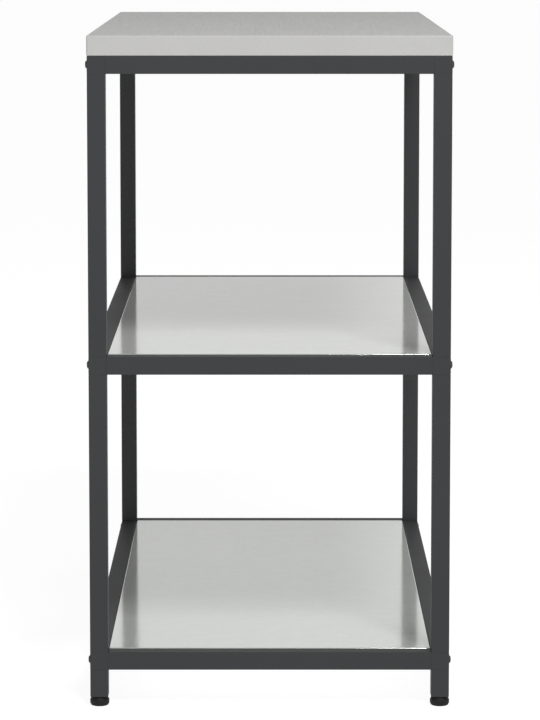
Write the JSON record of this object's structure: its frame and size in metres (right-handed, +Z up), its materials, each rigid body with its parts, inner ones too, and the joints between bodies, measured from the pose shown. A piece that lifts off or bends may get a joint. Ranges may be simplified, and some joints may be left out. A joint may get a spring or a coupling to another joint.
{
  "type": "potting bench",
  "caption": "Potting bench: wooden worktop on a bolted square-tube steel frame, with sheet-steel shelves set into the frame and screw-in levelling feet.",
  "frame": {"origin": "on the floor, under the middle of the bench", "axes": "+Z up; +Y along the bench, from the near end to the far end; +X across it, from left to right"},
  "size_m": [0.5056, 1.002, 0.935],
  "materials": {
    "frame_steel": "anthracite powder coat, fine-textured, matt",
    "worktop_wood": "light grey paint on wood, satin, grain showing faintly lengthwise",
    "shelf_steel": "zinc-coated sheet, smooth and glossy",
    "foot_plastic": "black moulded nylon",
    "bolts": "black zinc, semi-gloss",
    "zinc_steel": "bright zinc plate"
  },
  "bodies": {
    "frame": {"bottom_rail_left": "frame_steel", "bottom_rail_right": "frame_steel", "bottom_cross_rail_near": "frame_steel", "bottom_cross_rail_far": "frame_steel", "bottom_bolt_near_left": "bolts", "bottom_bolt_far_left": "bolts", "bottom_bolt_near_right": "bolts", "bottom_bolt_far_right": "bolts", "middle_rail_left": "frame_steel", "middle_rail_right": "frame_steel", "middle_cross_rail_near": "frame_steel", "middle_cross_rail_far": "frame_steel", "middle_bolt_near_left": "bolts", "middle_bolt_far_left": "bolts", "middle_bolt_near_right": "bolts", "middle_bolt_far_right": "bolts", "top_rail_left": "frame_steel", "top_rail_right": "frame_steel", "top_cross_rail_near": "frame_steel", "top_cross_rail_far": "frame_steel", "top_bolt_near_left": "bolts", "top_bolt_far_left": "bolts", "top_bolt_near_right": "bolts", "top_bolt_far_right": "bolts", "foot_leg_near_left": "frame_steel", "lower_leg_near_left": "frame_steel", "upper_leg_near_left": "frame_steel", "foot_insert_near_left": "foot_plastic", "foot_leg_far_left": "frame_steel", "lower_leg_far_left": "frame_steel", "upper_leg_far_left": "frame_steel", "foot_insert_far_left": "foot_plastic", "foot_leg_near_right": "frame_steel", "lower_leg_near_right": "frame_steel", "upper_leg_near_right": "frame_steel", "foot_insert_near_right": "foot_plastic", "foot_leg_far_right": "frame_steel", "lower_leg_far_right": "frame_steel", "upper_leg_far_right": "frame_steel", "foot_insert_far_right": "foot_plastic", "worktop": "worktop_wood", "worktop_screw_left_1": "zinc_steel", "worktop_screw_left_2": "zinc_steel", "worktop_screw_left_3": "zinc_steel", "worktop_screw_right_1": "zinc_steel", "worktop_screw_right_2": "zinc_steel", "worktop_screw_right_3": "zinc_steel", "bottom_shelf": "shelf_steel", "bottom_shelf_stiffener": "shelf_steel", "middle_shelf": "shelf_steel", "middle_shelf_stiffener": "shelf_steel"},
    "foot_near_left": {"foot_pad_near_left": "foot_plastic", "foot_stem_near_left": "zinc_steel"},
    "foot_far_left": {"foot_pad_far_left": "foot_plastic", "foot_stem_far_left": "zinc_steel"},
    "foot_near_right": {"foot_pad_near_right": "foot_plastic", "foot_stem_near_right": "zinc_steel"},
    "foot_far_right": {"foot_pad_far_right": "foot_plastic", "foot_stem_far_right": "zinc_steel"}
  },
  "joints": [
    {"name": "foot_near_left_travel", "type": "slide", "parent": "frame", "child": "foot_near_left", "axis": [0, 0, -1], "range_m": [0, 0.012]},
    {"name": "foot_far_left_travel", "type": "slide", "parent": "frame", "child": "foot_far_left", "axis": [0, 0, -1], "range_m": [0, 0.012]},
    {"name": "foot_near_right_travel", "type": "slide", "parent": "frame", "child": "foot_near_right", "axis": [0, 0, -1], "range_m": [0, 0.012]},
    {"name": "foot_far_right_travel", "type": "slide", "parent": "frame", "child": "foot_far_right", "axis": [0, 0, -1], "range_m": [0, 0.012]}
  ]
}
